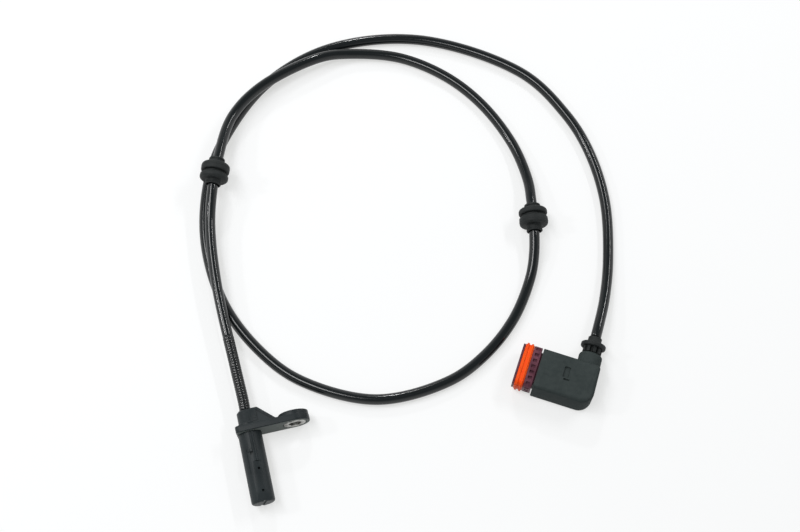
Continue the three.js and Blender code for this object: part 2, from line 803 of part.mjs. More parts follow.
addPiece(connector, 'cable_gland', geometryOf(glandBody()), rubberBlack);

// Cable: one run from the neck of the head, over itself, to the gland of the connector
connector.updateMatrixWorld(true);
const neckEnd = new THREE.Vector3(0, neckLength + cableGap, 0).add(head.position);
const neckLead = new THREE.Vector3(0, cableLead, 0).add(neckEnd);
const glandEnd = onOutlet(collarTop + cableGap).applyMatrix4(connector.matrixWorld);
const glandLead = onOutlet(collarTop + cableLead).applyMatrix4(connector.matrixWorld);

const routePoints = [
  [-12.7, 48.4, 7.9],
  [-13.6, 94.1, 8.8],
  [-10.7, 125.5, 10.3],
  [-5.6, 144.2, 13.3],
  [0.3, 160.2, 13.3],
  [12.2, 184.4, 9.6],
  [31.3, 199.2, 8.7],
  [65.4, 209.7, 7.4],
  [82.7, 209.7, 4.4],
  [108.9, 201.7, 3.1],
  [130.5, 185.2, 2.85],
  [145.5, 164.6, 2.85],
  [155.8, 137.7, 3.3],
  [158.2, 114.5, 5.3],
  [156.7, 102, 7.25],
  [153.8, 85, 7.25],
  [150.2, 71.5, 5.3],
  [145.1, 60.2, 3.4],
  [131.5, 41.5, 2.85],
  [112.2, 26, 2.85],
  [90.9, 16.9, 2.85],
  [53.5, 15.9, 2.85],
  [18.2, 34.2, 2.85],
  [0.9, 54.4, 2.85],
  [-12.3, 83.8, 2.85],
  [-15.1, 120.8, 2.85],
  [-6.0, 156.3, 2.85],
  [8.5, 179.4, 2.85],
  [35.4, 203.7, 2.85],
  [72.6, 216.4, 2.85],
  [122.2, 210.2, 2.85],
  [171.6, 177.9, 2.85],
  [188.7, 148.0, 2.85],
  [194.9, 124.2, 2.85],
  [195.4, 94.6, 2.85],
  [187.9, 61.8, 3.1],
  [179.7, 40.7, 5],
].map((point) => new THREE.Vector3(...point));

const cableRoute = new THREE.CatmullRomCurve3([neckEnd, neckLead, ...routePoints, glandLead, glandEnd]);
addPiece(part, 'cable', tubeAlong(cableRoute, cableRadius, tubeSides, tubeSteps), jacketBlack);

// Grommets: two round flanges with a groove for the bracket between them, and a sleeve at
// each end round the cable. The profile runs along the cable with the groove at zero.
function grommetProfile() {
  const bore = cableRadius + grommetBoreGap;
  const half = grommetGrooveWidth / 2;
  const upperEnd = half + grommetUpperFlange;
  const lowerEnd = -half - grommetLowerFlange;
  const top = upperEnd + grommetUpperSleeve;
  const bottom = lowerEnd - grommetLowerSleeve;
  const edge = grommetFlangeRadius - grommetFlangeRound;
  const lip = grommetSleeveRadius + grommetSleeveLip;
  const mouth = grommetFlangeRadius - grommetGrooveRound;
  return [
    [bore, bottom],
    [lip, bottom],
    [grommetSleeveRadius, bottom + grommetLipLength],
    [grommetSleeveRadius, lowerEnd],
    ...roundEdge([edge, lowerEnd + grommetFlangeRound], grommetFlangeRound, -90, 0),
    ...roundEdge([mouth, -half - grommetGrooveRound], grommetGrooveRound, 0, 90, 1),
    [grommetGrooveRadius, -half],
    [grommetGrooveRadius, half],
    ...roundEdge([mouth, half + grommetGrooveRound], grommetGrooveRound, -90, 0, 1),
    ...roundEdge([edge, upperEnd - grommetFlangeRound], grommetFlangeRound, 0, 90),
    [grommetSleeveRadius, upperEnd],
    [grommetSleeveRadius, top - grommetLipLength],
    [lip, top],
    [bore, top],
    [bore, bottom],
  ];
}

for (const [name, place] of grommetPlaces) {
  const target = new THREE.Vector3(...place);
  let nearest = 0;
  for (let i = 0; i <= 2000; i += 1) {
    const here = cableRoute.getPoint(i / 2000).distanceTo(target);
    if (here < cableRoute.getPoint(nearest).distanceTo(target)) nearest = i / 2000;
  }
  const grommet = addPiece(part, name, turned(grommetProfile(), grommetSegments), rubberBlack);
  grommet.position.copy(cableRoute.getPoint(nearest));
  grommet.quaternion.setFromUnitVectors(new THREE.Vector3(0, -1, 0), cableRoute.getTangent(nearest));
}

export default part;
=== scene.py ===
import math

import bpy
from mathutils import Matrix, Quaternion, Vector


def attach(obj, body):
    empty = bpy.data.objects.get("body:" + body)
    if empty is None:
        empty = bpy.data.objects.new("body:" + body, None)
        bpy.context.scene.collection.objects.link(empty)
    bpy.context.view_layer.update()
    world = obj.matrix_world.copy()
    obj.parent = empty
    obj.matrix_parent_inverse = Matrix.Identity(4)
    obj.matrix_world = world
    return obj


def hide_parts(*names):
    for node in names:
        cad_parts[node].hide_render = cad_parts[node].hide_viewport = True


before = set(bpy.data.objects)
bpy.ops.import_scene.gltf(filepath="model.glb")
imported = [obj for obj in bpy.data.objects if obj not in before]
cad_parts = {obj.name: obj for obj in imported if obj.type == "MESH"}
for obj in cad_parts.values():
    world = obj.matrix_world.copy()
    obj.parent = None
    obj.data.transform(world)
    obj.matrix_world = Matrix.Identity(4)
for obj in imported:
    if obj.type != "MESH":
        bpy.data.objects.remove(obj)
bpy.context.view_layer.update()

# Camera: it looks down steeply on the sensor as it lies on the table, from a little to the
# left of its middle, as the photograph does.
camera = bpy.data.objects.new("camera", bpy.data.cameras.new("camera"))
bpy.context.scene.collection.objects.link(camera)
camera.location = (0.0223, -0.1700, 0.7170)
looks_at = Vector((0.08145, 0.0842, 0))
camera.rotation_mode = "QUATERNION"
camera.rotation_quaternion = (looks_at - camera.location).to_track_quat("-Z", "Y")
camera.data.sensor_width = 36
camera.data.lens = 65.5
bpy.context.scene.camera = camera
bpy.context.scene.view_settings.view_transform = "Standard"


# Table: a pale sheet under plain soft light. A long softbox gives the soft shadows, and three
# narrow lamps behind and at the sides add to the thin lines of light along the cable.
class Shade:
    """A shader socket that takes part in sums, so that 1 - mask adds its Math node."""

    def __init__(self, tree, socket=None):
        self.tree = tree
        self.socket = socket

    def node(self, kind, settings=None, sockets=None, output=0):
        made = self.tree.nodes.new(kind)
        for name, value in (settings or {}).items():
            if name == "stops":
                ramp = made.color_ramp.elements
                while len(ramp) < len(value):
                    ramp.new(0.5)
                for stop, (place, colour) in zip(ramp, value):
                    stop.position = place
                    stop.color = colour
            else:
                setattr(made, name, value)
        for name, value in (sockets or {}).items():
            if isinstance(value, Shade):
                self.tree.links.new(value.socket, made.inputs[name])
            else:
                made.inputs[name].default_value = value
        return Shade(self.tree, made.outputs[output]) if made.outputs else None

    def math(self, operation, first, second=0.0):
        return self.node("ShaderNodeMath", {"operation": operation}, {0: first, 1: second})

    def __add__(self, other):
        return self.math("ADD", self, other)

    def __radd__(self, other):
        return self.math("ADD", other, self)

    def __sub__(self, other):
        return self.math("SUBTRACT", self, other)

    def __rsub__(self, other):
        return self.math("SUBTRACT", other, self)

    def __mul__(self, other):
        return self.math("MULTIPLY", self, other)

    def __rmul__(self, other):
        return self.math("MULTIPLY", other, self)


def seen_rays(start):
    path = start.tree.nodes.new("ShaderNodeLightPath")
    rays = [Shade(start.tree, path.outputs[name])
            for name in ("Is Camera Ray", "Is Glossy Ray", "Is Transmission Ray")]
    return start.math("MAXIMUM", start.math("MAXIMUM", rays[0], rays[1]), rays[2])


def new_tree(owner):
    owner.use_nodes = True
    owner.node_tree.nodes.clear()
    return Shade(owner.node_tree)


bpy.ops.object.select_all(action="DESELECT")
bpy.ops.mesh.primitive_plane_add(size=6, location=(looks_at.x, looks_at.y, 0))
floor = bpy.context.object
floor.name = "table_top"

bounce_white = (0.42, 0.424, 0.43, 1)
seen_white = (0.45, 0.455, 0.47, 1)
seen_glow = (1.0, 1.0, 0.98, 1)
floor_finish = bpy.data.materials.new("table_white")
start = new_tree(floor_finish)
seen_floor = start.node("ShaderNodeAddShader", None, {
    0: start.node("ShaderNodeBsdfDiffuse", None, {"Color": seen_white}),
    1: start.node("ShaderNodeEmission", None, {"Color": seen_glow, "Strength": 0.58}),
})
bounce_floor = start.node("ShaderNodeBsdfDiffuse", None, {"Color": bounce_white})
whole_floor = start.node("ShaderNodeMixShader", None, {
    0: seen_rays(start), 1: bounce_floor, 2: seen_floor})
start.node("ShaderNodeOutputMaterial", None, {"Surface": whole_floor})
floor.data.materials.append(floor_finish)

world = bpy.data.worlds.new("studio")
bpy.context.scene.world = world
start = new_tree(world)
heading = start.node("ShaderNodeTexCoord")
rise = start.node("ShaderNodeSeparateXYZ", None, {0: heading}, output=2)
wall_white = (1, 1, 1, 1)
ceiling_grey = (0.16, 0.17, 0.18, 1)
room_light = (0.27, 0.28, 0.285, 1)
seen_room = start.node("ShaderNodeValToRGB", {
    "stops": [(0.15, wall_white), (0.8, ceiling_grey)]}, {0: rise})
sky = start.node("ShaderNodeMix", {"data_type": "RGBA"}, {
    0: seen_rays(start), 6: room_light, 7: seen_room}, output=2)
light_dome = start.node("ShaderNodeBackground", None, {"Color": sky, "Strength": 1.0})
start.node("ShaderNodeOutputWorld", None, {"Surface": light_dome})


def add_lamp(name, place, watts, length, width, turn=None):
    """A lamp that faces the sensor or, where a turn is given, faces straight down."""
    data = bpy.data.lights.new(name, "AREA")
    data.shape = "RECTANGLE"
    data.size = length
    data.size_y = width
    data.energy = watts
    lamp = bpy.data.objects.new(name, data)
    bpy.context.scene.collection.objects.link(lamp)
    lamp.location = place
    lamp.rotation_mode = "QUATERNION"
    if turn is None:
        lamp.rotation_quaternion = (looks_at - lamp.location).to_track_quat("-Z", "Y")
    else:
        lamp.rotation_quaternion = Quaternion((0, 0, 1), math.radians(turn))


add_lamp("long_softbox", (-0.42, 0.34, 1.25), 9.3, 1.05, 0.34, -66)
add_lamp("left_lamp", (-0.95, 0.44, 0.88), 1.7, 0.09, 0.09)
add_lamp("right_lamp", (0.95, 0.44, 0.95), 4.2, 0.56, 0.07, 90)
add_lamp("back_lamp", (0.22, 1.28, 0.9), 2.6, 0.09, 0.09)

# Cable: two cores in one round black jacket, extruded and glossy. Beside the head the jacket
# has fine moulded ribs, so that it bends there without a kink.
mm = 0.001
cable_radius = 2.75 * mm
cable_lead = 6
head_place = Vector((-12.125, 11.9, 7.75)) * mm
neck_mouth = 12.3
neck_end = head_place + Vector((0, neck_mouth, 0)) * mm
neck_lead = neck_end + Vector((0, cable_lead, 0)) * mm
connector_place = Vector((126.7, 16.2, 0)) * mm
connector_turn = math.radians(-31.5)
tower_axis = 34.5
tower_lean = math.radians(2)
mid_height = 7.5
connector_frame = Matrix.Translation(connector_place) @ Matrix.Rotation(connector_turn, 4, "Z")


def on_outlet(distance):
    """A point on the leaning axis of the cable outlet, that far from the connector's middle."""
    across = tower_axis - distance * math.sin(tower_lean)
    return connector_frame @ (Vector((across, distance * math.cos(tower_lean), mid_height)) * mm)


collar_top = 26.1
gland_end = on_outlet(collar_top + 0.3)
gland_lead = on_outlet(collar_top + cable_lead)
cable_points = [
    neck_end,
    neck_lead,
    (-0.0127, 0.0484, 0.0079),
    (-0.0136, 0.0941, 0.0088),
    (-0.0107, 0.1255, 0.0103),
    (-0.0056, 0.1442, 0.0133),
    (0.0003, 0.1602, 0.0133),
    (0.0122, 0.1844, 0.0096),
    (0.0313, 0.1992, 0.0087),
    (0.0654, 0.2097, 0.0074),
    (0.0827, 0.2097, 0.0044),
    (0.1089, 0.2017, 0.0031),
    (0.1305, 0.1852, 0.00285),
    (0.1455, 0.1646, 0.00285),
    (0.1558, 0.1377, 0.0033),
    (0.1582, 0.1145, 0.0053),
    (0.1567, 0.102, 0.00725),
    (0.1538, 0.085, 0.00725),
    (0.1502, 0.0715, 0.0053),
    (0.1451, 0.0602, 0.0034),
    (0.1315, 0.0415, 0.00285),
    (0.1122, 0.026, 0.00285),
    (0.0909, 0.0169, 0.00285),
    (0.0535, 0.0159, 0.00285),
    (0.0182, 0.0342, 0.00285),
    (0.0009, 0.0544, 0.00285),
    (-0.0123, 0.0838, 0.00285),
    (-0.0151, 0.1208, 0.00285),
    (-0.006, 0.1563, 0.00285),
    (0.0085, 0.1794, 0.00285),
    (0.0354, 0.2037, 0.00285),
    (0.0726, 0.2164, 0.00285),
    (0.1222, 0.2102, 0.00285),
    (0.1716, 0.1779, 0.00285),
    (0.1887, 0.148, 0.00285),
    (0.1949, 0.1242, 0.00285),
    (0.1954, 0.0946, 0.00285),
    (0.1879, 0.0618, 0.0031),
    (0.1797, 0.0407, 0.005),
    gland_lead,
    gland_end,
]
cable_points = [Vector(point) for point in cable_points]


def smooth_line(points, steps):
    """Points along the centripetal curve through the given points, that many to each stretch."""
    before = 2 * points[0] - points[1]
    after = 2 * points[-1] - points[-2]
    row = [before, *points, after]
    line = []
    for p0, p1, p2, p3 in zip(row, row[1:], row[2:], row[3:]):
        d0, d1, d2 = (math.sqrt((b - a).length) for a, b in ((p0, p1), (p1, p2), (p2, p3)))
        t1 = ((p1 - p0) / d0 - (p2 - p0) / (d0 + d1) + (p2 - p1) / d1) * d1
        t2 = ((p2 - p1) / d1 - (p3 - p1) / (d1 + d2) + (p3 - p2) / d2) * d1
        for step in range(steps):
            t = step / steps
            bend = (3 * (p2 - p1) - 2 * t1 - t2) * t**2 + (2 * (p1 - p2) + t1 + t2) * t**3
            line.append(p1 + t1 * t + bend)
    return line + [points[-1]]


def line_lengths(line):
    lengths = [0.0]
    for a, b in zip(line, line[1:]):
        lengths.append(lengths[-1] + (b - a).length)
    return lengths


steps_to_a_stretch = 60
cable_line = smooth_line(cable_points, steps_to_a_stretch)
cable_lengths = line_lengths(cable_line)
cable_length = cable_lengths[-1]


def cable_point(distance):
    """Where the cable's middle is, and its heading, at a distance from the head."""
    low, high = 0, len(cable_lengths) - 2
    while low < high:
        middle = (low + high + 1) // 2
        if cable_lengths[middle] <= distance:
            low = middle
        else:
            high = middle - 1
    a, b = cable_line[low], cable_line[low + 1]
    share = (distance - cable_lengths[low]) / (cable_lengths[low + 1] - cable_lengths[low])
    return a.lerp(b, share), (b - a).normalized()


rib_pitch = 1.35 * mm
rib_rise = 0.1 * mm
groove_depth = 0.22 * mm
groove_steepness = 3
ribbed_length = 39 * mm
rings_to_a_rib = 10
plain_step = 1.6 * mm
jacket_sides = 32

stations = []
distance = 0.0
while distance < cable_length:
    stations.append(distance)
    ribbed = distance < ribbed_length
    distance += rib_pitch / rings_to_a_rib if ribbed else plain_step
stations.append(cable_length)


def jacket_radius(distance):
    if distance > ribbed_length:
        return cable_radius
    wave = 0.5 - 0.5 * math.cos(2 * math.pi * distance / rib_pitch)
    return cable_radius + rib_rise - groove_depth * (1 - min(1, groove_steepness * wave))


corners = []
side = Vector((0, 0, 1))
for distance in stations:
    middle, heading = cable_point(distance)
    side = (side - heading * side.dot(heading)).normalized()
    radius = jacket_radius(distance)
    for corner in range(jacket_sides):
        turn = Quaternion(heading, 2 * math.pi * corner / jacket_sides)
        corners.append(middle + radius * (turn @ side))
faces = []
for ring in range(len(stations) - 1):
    for corner in range(jacket_sides):
        a = ring * jacket_sides + corner
        b = ring * jacket_sides + (corner + 1) % jacket_sides
        faces.append((a, b, b + jacket_sides, a + jacket_sides))
faces.append(tuple(reversed(range(jacket_sides))))
faces.append(tuple(range(len(corners) - jacket_sides, len(corners))))

cable_mesh = bpy.data.meshes.new("cable_jacket")
cable_mesh.from_pydata(corners, [], faces)
cable = bpy.data.objects.new("cable_jacket", cable_mesh)
bpy.context.scene.collection.objects.link(cable)
jacket_map = cable_mesh.uv_layers.new(name="along_and_around")
for face in cable_mesh.polygons[:-2]:
    ring, corner = divmod(face.index, jacket_sides)
    face_corners = [(ring, corner), (ring, corner + 1), (ring + 1, corner + 1), (ring + 1, corner)]
    for loop, (at, turn) in zip(face.loop_indices, face_corners):
        jacket_map.data[loop].uv = (stations[at], turn / jacket_sides)
    face.use_smooth = True


def new_finish(name, colour, roughness, **constants):
    """A material with one Principled shader, and the start of its node tree."""
    material = bpy.data.materials.new(name)
    material.use_nodes = True
    shader = material.node_tree.nodes["Principled BSDF"]
    shader.inputs["Base Color"].default_value = (*colour, 1)
    shader.inputs["Roughness"].default_value = roughness
    for socket, value in constants.items():
        shader.inputs[socket.replace("_", " ")].default_value = value
    return material, shader, Shade(material.node_tree)


def feed(shader, start, **sockets):
    for name, value in sockets.items():
        start.tree.links.new(value.socket, shader.inputs[name.replace("_", " ")])


def noise(place, scale, detail=3.0):
    sockets = {"Vector": place, "Scale": scale, "Detail": detail}
    return place.node("ShaderNodeTexNoise", None, sockets)


def blend_colour(share, first, second):
    sockets = {0: share, 6: (*first, 1), 7: (*second, 1)}
    settings = {"data_type": "RGBA", "clamp_factor": True}
    return share.node("ShaderNodeMix", settings, sockets, output=2)


def bump(height, distance, strength):
    sockets = {"Height": height, "Strength": strength, "Distance": distance}
    return height.node("ShaderNodeBump", None, sockets)


jacket_black = (0.008, 0.0105, 0.0112)
groove_painted_shade = (0.002, 0.0025, 0.0025)
jacket_finish, shader, start = new_finish(
    "jacket_black", jacket_black, 0.15, Specular_IOR_Level=0.5)
own_map = start.node("ShaderNodeTexCoord", output=2)
drawn = start.node("ShaderNodeMapping", None, {"Vector": own_map, "Scale": (60, 40, 1)})
streaks = noise(drawn, 1.0)
place = start.node("ShaderNodeTexCoord", output=3)
dust = noise(place, 900.0, 4.0)
from_head = start.node("ShaderNodeSeparateXYZ", None, {0: own_map}, output=0)
# Painted shade: the rib troughs are painted darker than the jacket, and the same mask makes them
# rougher.
trough = start.math("COSINE", from_head * (2 * math.pi / rib_pitch)) * 0.5 + 0.5
trough = trough * trough * start.math("LESS_THAN", from_head, ribbed_length)
feed(shader, start,
     Base_Color=blend_colour(trough, jacket_black, groove_painted_shade),
     Roughness=0.09 + 0.05 * streaks + 0.06 * dust + 0.25 * trough,
     Normal=bump(streaks, 0.00003, 0.05))
cable.data.materials.append(jacket_finish)
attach(cable, "root")
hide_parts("cable")

# Grommets: two round flanges moulded in one piece of soft black rubber, with a groove between
# them for a sheet bracket and a sleeve at each end. They are slipped on before the cable is
# cut, and stay where they grip the jacket.
def on_its_own(piece):
    bpy.ops.object.select_all(action="DESELECT")
    piece.select_set(True)
    bpy.context.view_layer.objects.active = piece
    return piece


def drawn_shape(name, corners, edges, faces):
    mesh = bpy.data.meshes.new(name)
    mesh.from_pydata(corners, edges, faces)
    piece = bpy.data.objects.new(name, mesh)
    bpy.context.scene.collection.objects.link(piece)
    return on_its_own(piece)


def arc(centre, radius, start_turn, end_turn, steps=6):
    """Points of a round stretch, its turns in degrees."""
    points = []
    for step in range(steps + 1):
        turn = math.radians(start_turn + (end_turn - start_turn) * step / steps)
        points.append((centre[0] + radius * math.cos(turn), centre[1] + radius * math.sin(turn)))
    return points


def turned(name, profile, steps=64):
    """A profile of (radius, distance) points in millimetres, spun about the Y axis."""
    closed = profile[0] == profile[-1]
    points = profile[:-1] if closed else profile
    edges = [(i, i + 1) for i in range(len(points) - 1)]
    if closed:
        edges.append((len(points) - 1, 0))
    piece = drawn_shape(name, [(radius, along, 0) for radius, along in points], edges, [])
    bpy.ops.object.mode_set(mode="EDIT")
    bpy.ops.mesh.select_all(action="SELECT")
    bpy.ops.mesh.spin(steps=steps, angle=2 * math.pi, center=(0, 0, 0), axis=(0, 1, 0))
    bpy.ops.mesh.select_all(action="SELECT")
    bpy.ops.mesh.remove_doubles(threshold=0.0005)
    bpy.ops.mesh.normals_make_consistent(inside=False)
    bpy.ops.object.mode_set(mode="OBJECT")
    return piece


def settle(piece, place, smooth_under=35):
    """Puts a piece that was drawn in millimetres where it belongs in the frame."""
    piece.data.transform(place @ Matrix.Scale(mm, 4))
    on_its_own(piece)
    bpy.ops.object.shade_smooth_by_angle(angle=math.radians(smooth_under))


def fit_piece(piece, finish, node):
    piece.data.materials.clear()
    piece.data.materials.append(finish)
    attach(piece, "root")
    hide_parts(node)


def rising_share(value, low, high):
    """A share that rises from 0 to 1 as the value goes from low to high."""
    stops = [(low, (0, 0, 0, 1)), (high, (1, 1, 1, 1))]
    return value.node("ShaderNodeValToRGB", {"stops": stops}, {0: value})


rubber_black = (0.0095, 0.012, 0.012)
rubber_bloom = (0.024, 0.028, 0.028)
rubber_finish, shader, start = new_finish(
    "rubber_black", rubber_black, 0.62, Specular_IOR_Level=0.3)
place = start.node("ShaderNodeTexCoord", output=3)
bloom = noise(place, 150.0, 5.0)
pores = noise(place, 3800.0, 2.0)
bloom_share = rising_share(bloom * 0.8 + pores * 0.25, 0.42, 0.72)
feed(shader, start,
     Base_Color=blend_colour(bloom_share, rubber_black, rubber_bloom),
     Roughness=0.46 + 0.2 * bloom + 0.12 * pores,
     Normal=bump(pores, 0.00004, 0.5))

flange_rim = 7.5
flange_round = 1.6
mould_line = 0.08
mould_line_at = 2.2
groove_floor = 5.6
groove_half = 0.7
groove_edge = 0.85
groove_fillet = 0.3
sleeve_radius = 3.85
sleeve_fillet = 0.7
lip_radius = 4.2
lip_round = 0.35
lip_width = 0.75
lip_foot = 1.3
sleeve_bore = 3.3
bore_round = 0.25
upper_face = groove_half + 3.3
lower_face = -groove_half - 4.7
upper_end = upper_face + 2.5
lower_end = lower_face - 3.1
round_at = flange_rim - flange_round
edge_at = flange_rim - groove_edge
lip_at = lip_radius - lip_round
bore_at = sleeve_bore + bore_round
grommet_profile = [
    (sleeve_bore, lower_end + bore_round),
    *arc((bore_at, lower_end + bore_round), bore_round, 180, 270, 3),
    *arc((lip_at, lower_end + lip_round), lip_round, -90, 0, 4),
    *arc((lip_at, lower_end + lip_width), lip_round, 0, 90, 4),
    (sleeve_radius, lower_end + lip_foot),
    *arc((sleeve_radius + sleeve_fillet, lower_face - sleeve_fillet), sleeve_fillet, 180, 90, 5),
    *arc((round_at, lower_face + flange_round), flange_round, -90, -6, 9),
    *arc((flange_rim + 0.02, lower_face + mould_line_at), mould_line, -90, 90, 3),
    *arc((edge_at, -groove_half - groove_edge), groove_edge, 0, 90, 7),
    *arc((groove_floor + groove_fillet, groove_fillet - groove_half), groove_fillet, 270, 180, 4),
    *arc((groove_floor + groove_fillet, groove_half - groove_fillet), groove_fillet, 180, 90, 4),
    *arc((edge_at, groove_half + groove_edge), groove_edge, -90, 0, 7),
    *arc((round_at, upper_face - flange_round), flange_round, 6, 90, 9),
    *arc((sleeve_radius + sleeve_fillet, upper_face + sleeve_fillet), sleeve_fillet, 270, 180, 5),
    (sleeve_radius, upper_end - lip_foot),
    *arc((lip_at, upper_end - lip_width), lip_round, -90, 0, 4),
    *arc((lip_at, upper_end - lip_round), lip_round, 0, 90, 4),
    *arc((bore_at, upper_end - bore_round), bore_round, 90, 180, 3),
    (sleeve_bore, lower_end + bore_round),
]
grommet_pattern = turned("grommet_pattern", grommet_profile, 72)
grommet_places = {
    "grommet_near_head": Vector((-0.0024, 0.1515, 0.0134)),
    "grommet_mid": Vector((0.1551, 0.0928, 0.0074)),
}
for node, near in grommet_places.items():
    nearest = min(range(len(cable_line) - 1), key=lambda i: (cable_line[i] - near).length)
    heading = (cable_line[nearest + 1] - cable_line[nearest - 1]).normalized()
    lie = Vector((0, -1, 0)).rotation_difference(heading).to_matrix().to_4x4()
    grommet = grommet_pattern.copy()
    grommet.data = grommet_pattern.data.copy()
    grommet.name = node + "_rubber"
    bpy.context.scene.collection.objects.link(grommet)
    settle(grommet, Matrix.Translation(cable_line[nearest]) @ lie, 50)
    fit_piece(grommet, rubber_finish, node)
bpy.data.objects.remove(grommet_pattern)

# Sensor head: probe, flange with its ear, neck and gusset are one moulding of satin black
# glass-filled plastic, shot round the insert. It plugs into the wheel carrier, and one bolt
# through the ear holds it.
def prism(name, outline, drawn_out):
    """A flat outline in millimetres, drawn out into a solid."""
    piece = drawn_shape(name, outline, [], [tuple(range(len(outline)))])
    bpy.ops.object.mode_set(mode="EDIT")
    bpy.ops.mesh.select_all(action="SELECT")
    bpy.ops.mesh.extrude_region_move(TRANSFORM_OT_translate={"value": drawn_out})
    bpy.ops.mesh.select_all(action="SELECT")
    bpy.ops.mesh.normals_make_consistent(inside=False)
    bpy.ops.object.mode_set(mode="OBJECT")
    return piece


def block(name, low, high):
    size = [b - a for a, b in zip(low, high)]
    middle = [(a + b) / 2 for a, b in zip(low, high)]
    bpy.ops.object.select_all(action="DESELECT")
    bpy.ops.mesh.primitive_cube_add(size=1, location=middle, scale=size)
    bpy.ops.object.transform_apply(location=True, rotation=True, scale=True)
    piece = bpy.context.object
    piece.name = name
    return piece


def rod(name, radius, low, high, axis, at=(0, 0), sides=48):
    """A round rod along one axis, from low to high, its middle at the other two places."""
    along = "XYZ".index(axis)
    middle = [0.0, 0.0, 0.0]
    middle[along] = (low + high) / 2
    for place_axis, value in zip([i for i in range(3) if i != along], at):
        middle[place_axis] = value
    turns = {"X": (0, math.pi / 2, 0), "Y": (math.pi / 2, 0, 0), "Z": (0, 0, 0)}
    bpy.ops.object.select_all(action="DESELECT")
    bpy.ops.mesh.primitive_cylinder_add(
        vertices=sides, radius=radius, depth=high - low, location=middle, rotation=turns[axis])
    bpy.ops.object.transform_apply(location=True, rotation=True, scale=True)
    piece = bpy.context.object
    piece.name = name
    return piece


def round_off(piece, radius, steps, chosen):
    """Bevels the edges whose two ends are chosen."""
    on_its_own(piece)
    bpy.ops.object.mode_set(mode="EDIT")
    bpy.ops.mesh.select_mode(type="EDGE")
    bpy.ops.mesh.select_all(action="DESELECT")
    bpy.ops.object.mode_set(mode="OBJECT")
    points = [vertex.co for vertex in piece.data.vertices]
    for edge in piece.data.edges:
        a, b = (points[i] for i in edge.vertices)
        edge.select = bool(chosen(a, b))
    bpy.ops.object.mode_set(mode="EDIT")
    bpy.ops.mesh.bevel(offset=radius, segments=steps, affect="EDGES")
    bpy.ops.object.mode_set(mode="OBJECT")


def combine(piece, operation, tools):
    """Joins each tool to the piece, or cuts it out of the piece."""
    for tool in tools:
        modifier = piece.modifiers.new("combine", "BOOLEAN")
        modifier.operation = operation
        modifier.solver = "EXACT"
        modifier.object = tool
        on_its_own(piece)
        bpy.ops.object.modifier_apply(modifier=modifier.name)
        bpy.data.objects.remove(tool)


def turn_about_probe(piece, turn):
    """Turns a feature of the probe round the probe's middle, by a turn in degrees."""
    piece.data.transform(Matrix.Rotation(math.radians(turn), 4, "Y"))
    return piece


probe_radius = 5.9
probe_length = 35.8
tip_round = 1.3
feature_turn = 15
latch_turn = -13
side_line_turn = -32
flange_radius = 7.75
flange_end = -6.4
flange_corner = 2.4
bolt_offset = 22.9
plate_thickness = 3.4
boss_thickness = 5.4
neck_radius = 4.6
neck_length = 12
neck_foot = 5.1
neck_fillet = 0.4
probe_flat_length = 20.5
bush_radius = 5.6
fit_gap = 0.25
overlap = 0.5

probe = turned("probe_body", [
    (0, -probe_length),
    *arc((probe_radius - tip_round, -probe_length + tip_round), tip_round, -90, 0, 7),
    (probe_radius, -probe_length + 14),
    (probe_radius, -6),
    (probe_radius, plate_thickness / 2),
    (0, plate_thickness / 2),
], 96)
neck = turned("neck_body", [
    (0, plate_thickness / 2),
    (neck_foot, plate_thickness / 2),
    (neck_foot, plate_thickness + 0.9),
    *arc((neck_radius + 0.1, plate_thickness + 1.3), neck_fillet, 0, 90, 3),
    (neck_radius, plate_thickness + 1.9),
    (neck_radius, neck_length - 1.35),
    (neck_radius - 0.1, neck_length - 1.1),
    (neck_radius - 1.0, neck_length - 0.15),
    (neck_radius - 1.25, neck_length),
    (0, neck_length),
], 72)

left, level = flange_end + flange_corner, flange_radius - flange_corner
flange_outline = [
    *arc((bolt_offset, 0), flange_radius, -90, 90, 32),
    *arc((left, level), flange_corner, 90, 180, 8),
    *arc((left, -level), flange_corner, 180, 270, 8),
]
plate = prism("flange_plate", [(x, 0, z) for x, z in flange_outline], (0, plate_thickness, 0))
round_off(plate, 0.4, 3, lambda a, b: abs(a.y - b.y) < 0.001)
boss = rod("ear_boss", flange_radius - 0.15, 0.6, boss_thickness, "Y", (bolt_offset, 0), 72)
round_off(boss, 0.4, 3, lambda a, b: min(a.y, b.y) > boss_thickness - 0.01)

gusset_half = 4.1
gusset_foot = 1.7
gusset_reach = 15.2
gusset_crest = 6.1
gusset_top = neck_length - 0.15
gusset_outline = [
    (0, gusset_foot),
    (gusset_reach, gusset_foot),
    (gusset_reach, plate_thickness),
    (gusset_crest, gusset_top),
    (0, gusset_top),
]
gusset = prism(
    "gusset_web", [(x, y, -gusset_half) for x, y in gusset_outline], (0, 0, 2 * gusset_half))
round_off(gusset, 0.45, 3, lambda a, b: (
    min(a.y, b.y) > plate_thickness - 0.1 and max(a.x, b.x) > 1))


def probe_feature(name, low, high, turn, edge=0.0, edge_steps=3):
    """A low raised feature along the probe, its outer edges rounded before it is turned."""
    piece = block(name, low, high)
    if edge:
        round_off(piece, edge, edge_steps, lambda a, b: min(a.z, b.z) > probe_radius)
    return turn_about_probe(piece, turn)


inside = 4
pad_half, pad_end_at = 1.35, -10.5
rib = probe_feature(
    "probe_rib", (-0.45, -17.2, inside), (0.45, overlap, 6.4), feature_turn, 0.3)
pad = probe_feature(
    "latch_pad", (-pad_half, pad_end_at, inside), (pad_half, overlap, 6.04), latch_turn, 0.12, 2)
pad_end = probe_feature(
    "latch_pad_end", (-0.1, pad_end_at, inside), (pad_half, -8.9, 6.3), latch_turn, 0.25)
side_line = probe_feature(
    "probe_side_line", (-0.16, -21, inside), (0.16, -8.5, 6.08), side_line_turn)

head = probe
combine(head, "UNION", [neck, plate, boss, gusset, rib, pad, pad_end, side_line])

